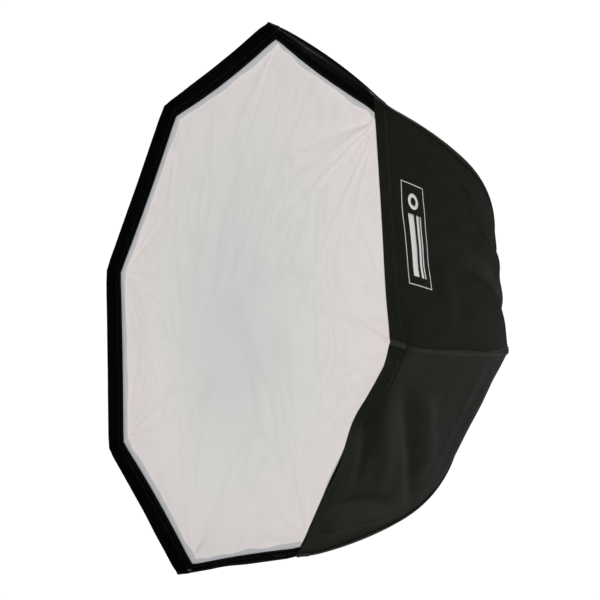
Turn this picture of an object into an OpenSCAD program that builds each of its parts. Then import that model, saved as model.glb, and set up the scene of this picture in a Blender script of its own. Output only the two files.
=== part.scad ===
// Octagonal studio softbox: a nylon shell held open by eight sprung rods in a speed ring.
// Each part is drawn with its axis along Z and the diffuser towards +Z, and in_frame() then
// lays the softbox down: the diffuser faces -Y, and the lamp enters from +Y.

/* [Shell] */
// Radius from the axis to a corner of the front edge
shell_r = 600; // [540:10:660]
// Thickness of the coated nylon
cloth_t = 1.5; // [1:0.1:2]
// Slope of the shell at its front edge, from the axis
front_slope = 9; // [7:0.5:11]
// Slope of the shell where its two curves meet
middle_slope = 23; // [21:0.5:25]
// Slope of the shell where its straight cone begins
cone_slope = 68; // [66:0.5:69]
// Bend of the front curve, in degrees for each shell radius of length
front_bend = 28; // [26:0.5:30]
// Bend of the rear curve, in degrees for each shell radius of length
rear_bend = 62; // [60:0.5:64]
// Corner radius of the shell's rear opening
rear_opening_r = 108; // [106:1:112]

/* [Front rim] */
// Depth of the loop flange behind the front edge
flange_depth = 24; // [22:1:28]
// How far a corner of the loop flange lies inside the shell's front corner
flange_inset = 10; // [9:1:14]
// Width of the hook border, at a corner
border_w = 20; // [18:1:24]
// Depth of the diffuser cloth behind the front edge
diffuser_depth = 31; // [30:1:36]

/* [Rods] */
// Radius of a sprung rod
rod_r = 3; // [2.5:0.1:3.2]
// Distance from the shell's surface in to a rod's centreline
rod_inset = 9; // [8.5:0.1:10]
// Length of a rod's brass ferrule
ferrule_l = 60; // [50:1:70]

/* [Speed ring] */
// Outer radius of the speed ring
ring_r = 83; // [82:0.5:84]
// Rear face of the speed ring, from the mount's rear face
ring_back = 12; // [11:0.5:13]
// Front face of the speed ring
ring_front = 50; // [49:0.5:54]
// Radius of the seat that the mount ring turns in
seat_r = 66; // [65:0.5:67]
// Running clearance of the mount ring in its seat
turn_gap = 0.06; // [0.03:0.01:0.1]

/* [Mount ring] */
// Radius of the bore that the lamp looks through
mount_bore_r = 45; // [44:0.5:46]
// Outer radius of the spigot
spigot_r = 50; // [49.5:0.1:50.5]
// Outer radius over the bayonet lugs
lug_r = 55; // [54:0.5:55.5]

/* [Inner baffle] */
// Corner radius of the inner baffle
baffle_r = 370; // [340:5:400]
// Depth of the inner baffle behind the front edge
baffle_depth = 250; // [230:5:270]

/* [Hidden] */
SIDES = 8;
STEP_DEG = 360 / SIDES;
$fn = 96;

// The shell's profile, as radius and height above the mount's rear face
front_arc_r = shell_r / front_bend * 180 / PI;
rear_arc_r = shell_r / rear_bend * 180 / PI;
meet_r = shell_r - front_arc_r * (cos(front_slope) - cos(middle_slope));
meet_drop = front_arc_r * (sin(middle_slope) - sin(front_slope));
cone_r = meet_r - rear_arc_r * (cos(middle_slope) - cos(cone_slope));
cone_drop = meet_drop + rear_arc_r * (sin(cone_slope) - sin(middle_slope));
// The cone's line passes this far in front of the mount's rear face at the ring's radius
cone_z_at_ring = 36;
front_z = cone_z_at_ring + cone_drop + (cone_r - ring_r) / tan(cone_slope);
front_centre = [shell_r - front_arc_r * cos(front_slope), front_z + front_arc_r * sin(front_slope)];
rear_centre = [
    meet_r - rear_arc_r * cos(middle_slope),
    front_z - meet_drop + rear_arc_r * sin(middle_slope)
];

// How far a cutting tool runs past the face it cuts
CUT = 10;
// Radial gap between two fixed parts that are pushed together
SNUG = 0.05;

// Seats inside the speed ring: the mount ring's flange turns in the seat, and the retaining
// ring lies in the recess in front of it
lip_t = 4;
seat_z = ring_back + lip_t;
seat_depth = 10;
recess_z = seat_z + seat_depth;
recess_w = 6.2;
recess_r = seat_r + recess_w;
retainer_t = 3.5;
retainer_gap = 0.1;
retainer_bore_r = spigot_r + 3;
rear_bore_r = lug_r + 1.5;
axial_gap = 0.2;

// Retaining screws
screw_count = 6;
screw_r = 1.5;
screw_head_r = 2.6;
screw_head_t = 2;
screw_hex_r = 1.2;
screw_pitch_r = seat_r + 3;
screw_start_deg = 30;
screw_hole_z = seat_z + 3;
screw_tip_z = seat_z + 3.5;

// Lock screw and its knob
lock_z = seat_z + seat_depth / 2;
lock_r = 3;
lock_gap = 0.05;
lock_tip_gap = 0.3;
knob_r = 8.5;
knob_start = ring_r + 6;
knob_l = 16;

// Rod sockets, and what is on the rods
socket_r = 6;
ferrule_r = rod_r + 0.5;
socket_gap = 0.06;
socket_start = recess_r + 2.5;
socket_end = ring_r + 16;
socket_root = 4;
tip_r = 4.4;
tip_l = 14;
tip_bore_r = rod_r + 0.3;
// Length of the shell's curve from its front edge to a rod's end
tip_arc = 36;
sleeve_bore_r = rod_r + 0.8;
sleeve_r = rod_r + 1.8;
sleeve_start_arc = 70;
sleeve_end_slope = cone_slope - 3;

// Shell trim: the label lies on the panel at azimuth 0
seam_gap = 0.3;
hem_w = 27;
tape_half_w = 6.5;
tape_t = 0.8;
tape_lift = 0.15;
tab_start = 1;
tab_t = 1.2;
label_arc = 93;
label_w = 198;
label_h = 70;
label_line = 1.7;
label_t = 0.4;

// Front rim. The flange is narrower than the border by the gap that the diffuser's cloth
// passes through.
flange_r = shell_r - flange_inset;
pass_gap = 3;
border_t = 1.6;
hook_gap = 0.4;
diffuser_t = 1;

// Inner baffle and its straps
baffle_z = front_z - baffle_depth;
baffle_t = 1.2;
strap_w = 20;
strap_t = 1.2;
strap_overlap = 24;

// Where each profile angle falls between the front edge and the cone
function front_point(a, inset) = front_centre + (front_arc_r - inset) * [cos(a), -sin(a)];
function rear_point(a, inset) = rear_centre + (rear_arc_r - inset) * [cos(a), -sin(a)];
function cone_point(r) = [r, front_z - cone_drop - (cone_r - r) / tan(cone_slope)];
function slope_after(length) = front_slope + front_bend * length / shell_r;

// The profile's points from the front edge to the rear opening, at a distance inside it
FRONT_STEPS = 4;
REAR_STEPS = 8;
function cone_inset(r, inset) = cone_point(r) + inset * [-cos(cone_slope), sin(cone_slope)];
function profile(inset) = concat(
    [for (k = [0:FRONT_STEPS - 1])
        front_point(front_slope + (middle_slope - front_slope) * k / FRONT_STEPS, inset)],
    [for (k = [0:REAR_STEPS])
        rear_point(middle_slope + (cone_slope - middle_slope) * k / REAR_STEPS, inset)],
    [cone_inset(rear_opening_r, inset)]
);

module in_frame() {
    rotate([90, 0, 0])
        children();
}

// Azimuth of the i-th rod, counted from 1
function rod_azimuth(i) = STEP_DEG / 2 + STEP_DEG * (i - 1);

module at_rods() {
    for (i = [1:SIDES])
        rotate([0, 0, rod_azimuth(i)])
            children();
}

module at_rod(i) {
    rotate([0, 0, rod_azimuth(i)])
        children();
}

module octagon(corner_r) {
    polygon([for (i = [1:SIDES]) corner_r * [cos(rod_azimuth(i)), sin(rod_azimuth(i))]]);
}

module octagon_plate(corner_r, z, t) {
    translate([0, 0, z])
        linear_extrude(t)
            octagon(corner_r);
}

module octagon_frame(corner_r, w, z, t) {
    translate([0, 0, z])
        linear_extrude(t)
            difference() {
                octagon(corner_r);
                octagon(corner_r - w);
            }
}

module tube(outer, inner, z0, z1) {
    translate([0, 0, z0])
        linear_extrude(z1 - z0)
            difference() {
                circle(r = outer);
                circle(r = inner);
            }
}

// A stretch of a rod's line along one of the profile's two arcs, from slope a0 to slope a1
module along_arc(centre, radius, a0, a1) {
    translate([centre.x, 0, centre.y])
        rotate([90, 0, 0])
            rotate([0, 0, -a1])
                rotate_extrude(angle = a1 - a0, $fn = 180)
                    translate([radius, 0])
                        children();
}

module along_front_arc(a0, a1) {
    along_arc(front_centre, front_arc_r - rod_inset, a0, a1)
        children();
}

module along_rear_arc(a0, a1) {
    along_arc(rear_centre, rear_arc_r - rod_inset, a0, a1)
        children();
}

// A straight piece on the cone's line, lying inside the shell, between two radii
module along_cone(r0, r1, inset) {
    start = cone_inset(r0, inset);
    translate([start.x, 0, start.y])
        rotate([0, cone_slope, 0])
            linear_extrude((r1 - r0) / sin(cone_slope))
                children();
}

// Speed ring

module speed_ring() {
    color("#1d1d1f")
        in_frame()
            difference() {
                union() {
                    tube(ring_r, rear_bore_r, ring_back, ring_front);
                    at_rods()
                        along_cone(ring_r - socket_root, socket_end, rod_inset)
                            circle(r = socket_r);
                }
                translate([0, 0, seat_z])
                    cylinder(r = seat_r, h = ring_front);
                translate([0, 0, recess_z])
                    cylinder(r = recess_r, h = ring_front);
                at_rods()
                    along_cone(socket_start, socket_end + CUT, rod_inset)
                        circle(r = ferrule_r + socket_gap, $fn = 48);
                at_screws()
                    translate([0, 0, screw_hole_z])
                        cylinder(r = screw_r + SNUG, h = ring_front, $fn = 32);
                at_lock(0)
                    cylinder(r = lock_r + lock_gap, h = ring_r + CUT, $fn = 48);
            }
}

module at_screws() {
    for (i = [0:screw_count - 1])
        rotate([0, 0, screw_start_deg + i * 360 / screw_count])
            translate([screw_pitch_r, 0, 0])
                children();
}

module retaining_ring() {
    color("#2b2b2e")
        in_frame()
            difference() {
                tube(recess_r - retainer_gap, retainer_bore_r, recess_z, recess_z + retainer_t);
                at_screws()
                    cylinder(r = screw_r + SNUG, h = ring_front, $fn = 32);
            }
}

module retaining_screws() {
    head_z = recess_z + retainer_t;
    color("silver")
        in_frame()
            at_screws() {
                translate([0, 0, screw_tip_z])
                    cylinder(r = screw_r, h = head_z - screw_tip_z, $fn = 32);
                translate([0, 0, head_z])
                    difference() {
                        cylinder(r = screw_head_r, h = screw_head_t, $fn = 32);
                        translate([0, 0, screw_head_t / 2])
                            cylinder(r = screw_hex_r, h = screw_head_t, $fn = 6);
                    }
            }
}

// Mount ring: a spigot with three bayonet lugs, on a flange that turns in the speed ring

module mount_ring() {
    lug_t = 4;
    lug_deg = 26;
    lug_root_r = spigot_r - 1;
    color("#c9ccd0")
        in_frame()
            difference() {
                union() {
                    cylinder(r = spigot_r, h = recess_z - axial_gap);
                    translate([0, 0, seat_z + axial_gap])
                        cylinder(r = seat_r - turn_gap, h = seat_depth - 2 * axial_gap);
                    for (i = [0:2])
                        rotate([0, 0, i * 120 - lug_deg / 2])
                            rotate_extrude(angle = lug_deg)
                                translate([lug_root_r, 0])
                                    square([lug_r - lug_root_r, lug_t]);
                }
                translate([0, 0, -CUT])
                    cylinder(r = mount_bore_r, h = ring_front);
            }
}

// Lock screw: presses on the mount ring's flange

module at_lock(r) {
    translate([r, 0, lock_z])
        rotate([0, 90, 0])
            children();
}

module lock_screw() {
    lock_tip_r = seat_r + lock_tip_gap;
    shoulder_r = 5;
    shoulder_l = 3;
    color("silver")
        in_frame() {
            at_lock(lock_tip_r)
                cylinder(r = lock_r, h = knob_start - lock_tip_r, $fn = 48);
            at_lock(knob_start - shoulder_l)
                cylinder(r = shoulder_r, h = shoulder_l, $fn = 48);
        }
}

module lock_knob() {
    flute_count = 8;
    flute_r = 2.2;
    flute_pitch_r = knob_r + 1;
    color("#161616")
        in_frame()
            at_lock(knob_start)
                difference() {
                    cylinder(r = knob_r, h = knob_l, $fn = 64);
                    for (i = [0:flute_count - 1])
                        rotate([0, 0, i * 360 / flute_count])
                            translate([flute_pitch_r, 0, -CUT])
                                cylinder(r = flute_r, h = knob_l + 2 * CUT, $fn = 32);
                }
}

// Rods and what is on them

ROD_SIDES = 12;
FRONT_ROD_STEPS = 5;
REAR_ROD_STEPS = 10;

// A ring of points round a rod's line, square to it where its slope is a
function rod_ring(p, a) = [
    for (k = [0:ROD_SIDES - 1])
        let (turn = 360 * k / ROD_SIDES)
        [p.x + rod_r * cos(turn) * cos(a), rod_r * sin(turn), p.y - rod_r * cos(turn) * sin(a)]
];

function rod_rings() =
    let (tip_slope = slope_after(tip_arc))
    concat(
        [for (k = [0:FRONT_ROD_STEPS - 1])
            let (a = tip_slope + (middle_slope - tip_slope) * k / FRONT_ROD_STEPS)
            rod_ring(front_point(a, rod_inset), a)],
        [for (k = [0:REAR_ROD_STEPS])
            let (a = middle_slope + (cone_slope - middle_slope) * k / REAR_ROD_STEPS)
            rod_ring(rear_point(a, rod_inset), a)],
        [rod_ring(cone_inset(socket_start + ferrule_l, rod_inset), cone_slope)]
    );

module rib_rod(i) {
    rings = rod_rings();
    last = len(rings) - 1;
    points = [for (ring = rings) each ring];
    walls = [
        for (j = [0:last - 1])
            for (k = [0:ROD_SIDES - 1])
                let (here = j * ROD_SIDES, next = (k + 1) % ROD_SIDES)
                [here + k, here + ROD_SIDES + k, here + ROD_SIDES + next, here + next]
    ];
    tip_end = [[for (k = [0:ROD_SIDES - 1]) k]];
    ring_end = [[for (k = [0:ROD_SIDES - 1]) last * ROD_SIDES + ROD_SIDES - 1 - k]];
    color("#8d9093")
        in_frame()
            at_rod(i)
                polyhedron(points = points, faces = concat(tip_end, walls, ring_end));
}

module rod_ferrules() {
    ferrule_start = socket_start + 0.5;
    color("#b08d4a")
        in_frame()
            at_rods()
                along_cone(ferrule_start, socket_start + ferrule_l, rod_inset)
                    circle(r = ferrule_r, $fn = 48);
}

// Stands children on a rod's tip, with +Z back along the rod
module at_tip() {
    tip_slope = slope_after(tip_arc);
    tip = front_point(tip_slope, rod_inset);
    translate([tip.x, 0, tip.y])
        rotate([0, 180 + tip_slope, 0])
            children();
}

// A round cup of the given outer and inner radius, with a closed end
module cup(outer, inner, length, end_t) {
    rotate_extrude($fn = 48)
        polygon([
            [0, 0], [outer, 0], [outer, length], [inner, length], [inner, end_t], [0, end_t]
        ]);
}

module rod_tips() {
    end_t = 1.5;
    color("#202020")
        in_frame()
            at_rods()
                at_tip()
                    translate([0, 0, -end_t - SNUG])
                        cup(tip_r, tip_bore_r, tip_l + end_t, end_t);
}

module corner_pockets() {
    end_t = 1.2;
    wall_t = 1.7;
    fit = 0.1;
    slack = 3;
    length = 22;
    color("#141414")
        in_frame()
            at_rods()
                at_tip()
                    translate([0, 0, -slack])
                        cup(tip_r + fit + wall_t, tip_r + fit, length, end_t);
}

module rib_sleeves() {
    color("#242522")
        in_frame()
            at_rods() {
                along_front_arc(slope_after(sleeve_start_arc), middle_slope)
                    sleeve_section();
                along_rear_arc(middle_slope, sleeve_end_slope)
                    sleeve_section();
            }
}

module sleeve_section() {
    difference() {
        circle(r = sleeve_r, $fn = 32);
        circle(r = sleeve_bore_r, $fn = 32);
    }
}

// Shell: eight cut panels of coated nylon, each between two rods

// A profile point at the panel's side: side is -1 or 1, seen from the panel's own middle
function panel_point(p, side) =
    let (half = p.x * sin(STEP_DEG / 2) - seam_gap)
    [p.x * cos(STEP_DEG / 2), side * half, p.y];

module gore(i) {
    outer = profile(0);
    inner = profile(cloth_t);
    n = len(outer);
    points = concat(
        [for (p = outer) panel_point(p, -1)],
        [for (p = outer) panel_point(p, 1)],
        [for (p = inner) panel_point(p, -1)],
        [for (p = inner) panel_point(p, 1)]
    );
    ends = [0, n, 3 * n, 2 * n];
    faces = concat(
        [for (k = [0:n - 2]) [k, k + 1, n + k + 1, n + k]],
        [for (k = [0:n - 2]) [2 * n + k, 3 * n + k, 3 * n + k + 1, 2 * n + k + 1]],
        [for (k = [0:n - 2]) [k, 2 * n + k, 2 * n + k + 1, k + 1]],
        [for (k = [0:n - 2]) [n + k, n + k + 1, 3 * n + k + 1, 3 * n + k]],
        [[for (e = ends) e]],
        [[for (e = [0:3]) ends[3 - e] + n - 1]]
    );
    color("#23241f")
        in_frame()
            rotate([0, 0, rod_azimuth(i) + STEP_DEG / 2])
                polyhedron(points = points, faces = faces);
}

// Trim on the shell: bound seams over the rods, a webbing tab at each corner, and a label

// A point beside a seam, on the panel: w is the way to it across the panel, from the seam
function beside_seam(p, w) = [p.x - abs(w) * sin(STEP_DEG / 2), w * cos(STEP_DEG / 2), p.y];

// A strip folded over a seam, from the profile points under it and those on top of it
module seam_strip(under, over, half_w) {
    n = len(under);
    points = concat(
        [for (w = [-half_w, 0, half_w]) for (p = over) beside_seam(p, w)],
        [for (w = [-half_w, 0, half_w]) for (p = under) beside_seam(p, w)]
    );
    left = [0, 1, 4, 3];
    right = [1, 2, 5, 4];
    faces = concat(
        [for (j = [0:1]) for (k = [j * n:j * n + n - 2]) [k, k + 1, n + k + 1, n + k]],
        [for (j = [3:4]) for (k = [j * n:j * n + n - 2]) [k, n + k, n + k + 1, k + 1]],
        [for (k = [0:n - 2]) [k, 3 * n + k, 3 * n + k + 1, k + 1]],
        [for (k = [2 * n:3 * n - 2]) [k, k + 1, 3 * n + k + 1, 3 * n + k]],
        [[for (e = left) e * n], [for (e = right) e * n]],
        [for (half = [left, right]) [for (e = [0:3]) half[3 - e] * n + n - 1]]
    );
    in_frame()
        at_rods()
            polyhedron(points = points, faces = faces);
}

// The profile outside the shell from the hem back, at a height over the cloth
function behind_hem(lift) =
    let (all = profile(-lift))
    concat([front_point(slope_after(hem_w + 2), -lift)], [for (k = [1:len(all) - 1]) all[k]]);

function at_hem(lift) = [
    for (way = [tab_start, hem_w]) front_point(slope_after(way), -lift)
];

module seam_tapes() {
    color("#2b2c27")
        seam_strip(behind_hem(tape_lift), behind_hem(tape_lift + tape_t), tape_half_w);
}

module corner_tabs() {
    color("#181818")
        seam_strip(at_hem(tape_lift), at_hem(tape_lift + tab_t), tape_half_w);
}

module label_print() {
    slope = slope_after(label_arc);
    middle = front_point(slope, 0);
    panel_slope = atan(tan(slope) * cos(STEP_DEG / 2));
    color("#f2f2f0")
        in_frame()
            translate([middle.x * cos(STEP_DEG / 2), 0, middle.y])
                rotate([0, 90 + panel_slope, 0])
                    linear_extrude(label_t)
                        label_shape();
}

// The label's plain frame, ring and bars, with its front edge towards -X
module label_shape() {
    ring_place = label_w / 2 - 39;
    ring_outer_r = 15.5;
    ring_inner_r = 8;
    bar_l = 120;
    bar_start = 18 - label_w / 2;
    difference() {
        square([label_h, label_w], center = true);
        square([label_h - 2 * label_line, label_w - 2 * label_line], center = true);
    }
    translate([0, ring_place])
        difference() {
            circle(r = ring_outer_r);
            circle(r = ring_inner_r);
        }
    for (bar = [[-18, 16], [6, 7], [17, 3]])
        translate([bar[0], bar_start])
            square([bar[1], bar_l]);
}

// Cuff round the ring that closes the shell's rear opening
module back_collar() {
    cuff_t = 1.6;
    gap = 1;
    cuff_r = ring_r + 0.4;
    inner = cone_inset(cuff_r, -gap);
    outer = cone_inset(rear_opening_r + 6, -gap);
    cuff_back = lock_z + knob_r + 1;
    color("#1a1b18")
        in_frame()
            rotate_extrude($fn = 128)
                polygon([
                    [outer.x, outer.y],
                    [cuff_r, inner.y],
                    [cuff_r, cuff_back],
                    [cuff_r + cuff_t, cuff_back],
                    [cuff_r + cuff_t, inner.y - cuff_t],
                    [outer.x, outer.y - cuff_t]
                ]);
}

// Front rim: the shell's loop flange, and the diffuser with its hook border

module loop_flange() {
    color("#0f0f0f")
        in_frame()
            octagon_frame(flange_r, border_w - pass_gap, front_z - flange_depth - cloth_t, cloth_t);
}

module diffuser_border() {
    color("#0b0b0b")
        in_frame()
            octagon_frame(flange_r, border_w, front_z - flange_depth + hook_gap, border_t);
}

module front_diffuser() {
    corner_r = flange_r - border_w;
    wall_l = diffuser_depth - flange_depth + hook_gap + border_t;
    color("#e4e3df")
        in_frame() {
            octagon_plate(corner_r, front_z - diffuser_depth, diffuser_t);
            octagon_frame(corner_r, diffuser_t, front_z - diffuser_depth, wall_l);
        }
}

// Inner baffle on eight elastic straps

module inner_baffle() {
    color("#eceae4")
        in_frame()
            octagon_plate(baffle_r, baffle_z, baffle_t);
}

module baffle_straps() {
    // The curve is a little longer than the depth it reaches
    reach_arc = baffle_depth * 1.03;
    end_gap = 4;
    start_r = baffle_r - strap_overlap;
    end_r = front_point(slope_after(reach_arc), rod_inset + sleeve_r + end_gap).x;
    color("#e8e6e0")
        in_frame()
            at_rods()
                translate([start_r, -strap_w / 2, baffle_z + baffle_t])
                    cube([end_r - start_r, strap_w, strap_t]);
}

module baffle_snaps() {
    snap_r = 6;
    snap_t = 2.4;
    snap_bevel = 1.2;
    snap_pitch_r = baffle_r - strap_overlap / 2;
    color("#b9bbbd")
        in_frame()
            at_rods()
                translate([snap_pitch_r, 0, baffle_z + baffle_t + strap_t])
                    rotate_extrude($fn = 48)
                        polygon([
                            [0, 0],
                            [snap_r, 0],
                            [snap_r, snap_t - snap_bevel],
                            [snap_r - snap_bevel, snap_t],
                            [0, snap_t]
                        ]);
}

speed_ring();
mount_ring();
retaining_ring();
retaining_screws();
lock_screw();
lock_knob();
for (i = [1:SIDES])
    rib_rod(i);
rod_ferrules();
rod_tips();
corner_pockets();
rib_sleeves();
for (i = [1:SIDES])
    gore(i);
seam_tapes();
corner_tabs();
label_print();
back_collar();
loop_flange();
diffuser_border();
front_diffuser();
inner_baffle();
baffle_straps();
baffle_snaps();
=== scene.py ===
import math

import bpy
import numpy as np
from mathutils import Matrix, Vector


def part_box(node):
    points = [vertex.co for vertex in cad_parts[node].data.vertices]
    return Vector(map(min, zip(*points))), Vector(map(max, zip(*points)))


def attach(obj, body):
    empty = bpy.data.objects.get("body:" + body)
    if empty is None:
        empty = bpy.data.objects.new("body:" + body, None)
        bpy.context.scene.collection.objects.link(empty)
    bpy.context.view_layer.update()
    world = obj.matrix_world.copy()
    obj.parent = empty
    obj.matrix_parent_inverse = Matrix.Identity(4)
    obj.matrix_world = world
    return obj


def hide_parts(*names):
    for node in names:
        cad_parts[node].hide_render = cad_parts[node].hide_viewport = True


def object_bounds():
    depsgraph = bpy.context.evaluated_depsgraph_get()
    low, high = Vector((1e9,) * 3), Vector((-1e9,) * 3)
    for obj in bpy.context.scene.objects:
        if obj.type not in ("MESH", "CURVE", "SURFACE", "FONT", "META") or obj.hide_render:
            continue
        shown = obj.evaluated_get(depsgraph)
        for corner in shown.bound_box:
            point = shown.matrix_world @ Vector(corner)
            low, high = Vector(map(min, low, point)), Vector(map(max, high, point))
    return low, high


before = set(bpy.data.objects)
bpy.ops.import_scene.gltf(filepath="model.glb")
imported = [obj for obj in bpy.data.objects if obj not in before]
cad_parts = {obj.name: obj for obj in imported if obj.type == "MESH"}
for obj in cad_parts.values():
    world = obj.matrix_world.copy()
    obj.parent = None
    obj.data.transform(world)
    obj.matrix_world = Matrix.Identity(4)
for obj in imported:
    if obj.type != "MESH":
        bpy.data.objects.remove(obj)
CAD_LOW, CAD_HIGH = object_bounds()

# Lengths are in metres and angles in degrees. The softbox's axis is Y and its diffuser faces -Y.
# A point on the shell is given by its sector's azimuth, its way back along the cloth from the
# front edge, and its place across the panel, from -1 at one seam to 1 at the next.

SIDES = 8
SECTOR = 360 / SIDES
COS_HALF = math.cos(math.radians(SECTOR / 2))
SIN_HALF = math.sin(math.radians(SECTOR / 2))

SHELL_R = CAD_HIGH.x / COS_HALF
FRONT_Y = CAD_LOW.y
REAR_OPENING_R = 0.108
CLOTH_T = 0.0012
TAPE_T = 0.0014
BORDER_LOW, BORDER_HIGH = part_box("diffuser_border")
BAFFLE_LOW, BAFFLE_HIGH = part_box("inner_baffle")
HEM_W = 0.027  # from the front edge to the hem's stitching
SEAM_GAP = 0.0003  # from a seam's middle to a panel's edge
SEAM_TAPE_W = 0.0135
SEAM_FALL = math.tan(math.radians(SECTOR / 2))  # of each panel, away from a seam's ridge
CORNER_DIP = 0.004  # of the cloth at a corner, in front of its rod
ROD_INSET = 0.009  # of a rod's middle, inside its seam
THREAD_R = 0.00042
# How far each side's front edge bows in at its middle, by azimuth / 45
EDGE_BOWS = np.array([0.003, 0.000, 0.007, 0.005, 0.002, 0.004, 0.003, 0.004])

# The shell's profile: two arcs and then a cone, with slopes measured from the axis
FRONT_SLOPE, MIDDLE_SLOPE, CONE_SLOPE = (math.radians(a) for a in (9, 23, 68))
FRONT_ARC_R = SHELL_R / math.radians(28)
REAR_ARC_R = SHELL_R / math.radians(62)
FRONT_ARC_L = FRONT_ARC_R * (MIDDLE_SLOPE - FRONT_SLOPE)
REAR_ARC_L = REAR_ARC_R * (CONE_SLOPE - MIDDLE_SLOPE)


# Shape of the cloth


def profile(way):
    """(radius at a corner, depth behind the front edge, slope) at each way back along the cloth."""
    way = np.asarray(way, float)
    a = np.where(
        way < FRONT_ARC_L,
        FRONT_SLOPE + way / FRONT_ARC_R,
        MIDDLE_SLOPE + (way - FRONT_ARC_L) / REAR_ARC_R,
    )
    a = np.minimum(a, CONE_SLOPE)
    front_r = SHELL_R + FRONT_ARC_R * (np.cos(a) - math.cos(FRONT_SLOPE))
    front_d = FRONT_ARC_R * (np.sin(a) - math.sin(FRONT_SLOPE))
    meet_r = SHELL_R + FRONT_ARC_R * (math.cos(MIDDLE_SLOPE) - math.cos(FRONT_SLOPE))
    meet_d = FRONT_ARC_R * (math.sin(MIDDLE_SLOPE) - math.sin(FRONT_SLOPE))
    rear_r = meet_r + REAR_ARC_R * (np.cos(a) - math.cos(MIDDLE_SLOPE))
    rear_d = meet_d + REAR_ARC_R * (np.sin(a) - math.sin(MIDDLE_SLOPE))
    cone = np.maximum(way - FRONT_ARC_L - REAR_ARC_L, 0)
    r = np.where(way < FRONT_ARC_L, front_r, rear_r) - cone * math.sin(CONE_SLOPE)
    d = np.where(way < FRONT_ARC_L, front_d, rear_d) + cone * math.cos(CONE_SLOPE)
    return r, d, a


CONE_START_R = float(profile(FRONT_ARC_L + REAR_ARC_L)[0])
SHELL_L = FRONT_ARC_L + REAR_ARC_L + (CONE_START_R - REAR_OPENING_R) / math.sin(CONE_SLOPE)


def rod_azimuth(i):
    return SECTOR / 2 + SECTOR * i


def smooth(x):
    x = np.clip(x, 0, 1)
    return x * x * (3 - 2 * x)


def corner_dip(way, aside):
    """How far the cloth's front corner is pulled in past the rod's end, aside from its seam."""
    return CORNER_DIP * np.exp(-((way / 0.030) ** 2) - (aside / 0.022) ** 2)


# In front of the rods' ends the cloth leans over at two corners and waves beside one of them:
# azimuth, radius, how far it moves in X and Z, and how far round and back this reaches
LEANS = [
    (22.5, 0.600, 0.000, 0.015, 0.24, 0.030),
    (-22.5, 0.600, -0.014, 0.013, 0.24, 0.030),
    (-28.5, 0.580, 0.013, -0.004, 0.060, 0.070),
    (-38.0, 0.560, -0.004, 0.002, 0.045, 0.060),
    (-48.0, 0.555, 0.005, -0.003, 0.040, 0.060),
]


def leaned(points):
    """Points in the row frame, moved with the cloth's lean at the front corners."""
    x, z = points[..., 0], points[..., 2]
    depth = points[..., 1] - FRONT_Y
    moved = points.copy()
    for azimuth, radius, dx, dz, reach, reach_back in LEANS:
        at_x, at_z = radius * math.cos(math.radians(azimuth)), radius * math.sin(math.radians(azimuth))
        far = np.hypot(x - at_x, z - at_z)
        share = np.exp(-((far / reach) ** 2) - (np.maximum(depth, 0) / reach_back) ** 2)
        moved[..., 0] += dx * share
        moved[..., 2] += dz * share
    return moved


def turned(points, azimuth):
    """Points given as (out along the sector's middle, across, depth), in the row frame."""
    out, across, depth = points[..., 0], points[..., 1], points[..., 2]
    c, s = math.cos(math.radians(azimuth)), math.sin(math.radians(azimuth))
    return leaned(np.stack([out * c - across * s, FRONT_Y + depth, out * s + across * c], axis=-1))


# How far the middle of a panel is drawn in and over what way back, by azimuth / 45
DRAWN_IN = {0: (0.006, 0.11), 1: (0.048, 0.09), 7: (0.006, 0.11)}
USUALLY_DRAWN_IN = (0.018, 0.11)

# Each fold is a long soft ridge between two places on the cloth, given by the way back and the
# distance across the panel: from, to, width, height. A negative height is a valley.
FOLDS = {
    7: [
        ((0.00, 0.17), (0.16, -0.07), 0.024, 0.0100),
        ((0.10, 0.13), (0.31, -0.15), 0.018, -0.0110),
        ((0.17, 0.11), (0.31, -0.07), 0.022, 0.0080),
        ((0.03, -0.17), (0.29, -0.17), 0.016, 0.0110),
        ((0.05, -0.12), (0.20, -0.13), 0.020, -0.0110),
        ((0.01, 0.11), (0.08, -0.07), 0.012, -0.0060),
        ((0.40, 0.10), (0.40, -0.10), 0.020, -0.0050),
        ((0.34, 0.14), (0.36, -0.06), 0.012, 0.0020),
        ((0.38, 0.14), (0.40, -0.06), 0.011, -0.0018),
        ((0.43, 0.13), (0.45, -0.06), 0.010, 0.0014),
        ((0.02, -0.06), (0.03, -0.17), 0.012, 0.0050),
    ],
    0: [
        ((0.16, 0.18), (0.24, 0.07), 0.008, 0.0034),
        ((0.18, 0.19), (0.36, 0.12), 0.010, -0.0044),
        ((0.21, 0.19), (0.37, 0.09), 0.009, 0.0044),
        ((0.25, 0.18), (0.38, 0.06), 0.009, -0.0046),
        ((0.29, 0.17), (0.40, 0.04), 0.009, 0.0040),
        ((0.33, 0.15), (0.44, 0.02), 0.009, -0.0034),
        ((0.26, 0.03), (0.55, -0.04), 0.016, 0.0050),
        ((0.30, -0.02), (0.66, -0.07), 0.018, -0.0056),
        ((0.18, -0.05), (0.18, -0.17), 0.026, 0.0040),
        ((0.03, -0.13), (0.03, -0.21), 0.012, -0.0040),
        ((0.10, 0.21), (0.21, 0.11), 0.020, -0.0040),
        ((0.36, 0.06), (0.60, 0.03), 0.010, 0.0026),
        ((0.42, 0.07), (0.62, 0.06), 0.009, -0.0026),
    ],
}


def random_folds(rng):
    """Folds for a panel that has none of its own."""
    folds = []
    for _ in range(12):
        way, across = rng.uniform(0.08, 0.60), rng.uniform(-0.17, 0.17)
        heading, length = rng.uniform(-1.9, 1.9), rng.uniform(0.14, 0.30)
        end = (way + length * math.cos(heading), across + length * math.sin(heading))
        width, tall = rng.uniform(0.011, 0.026), rng.uniform(-0.005, 0.005)
        folds.append(((way, across), end, width, tall))
    return folds


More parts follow.
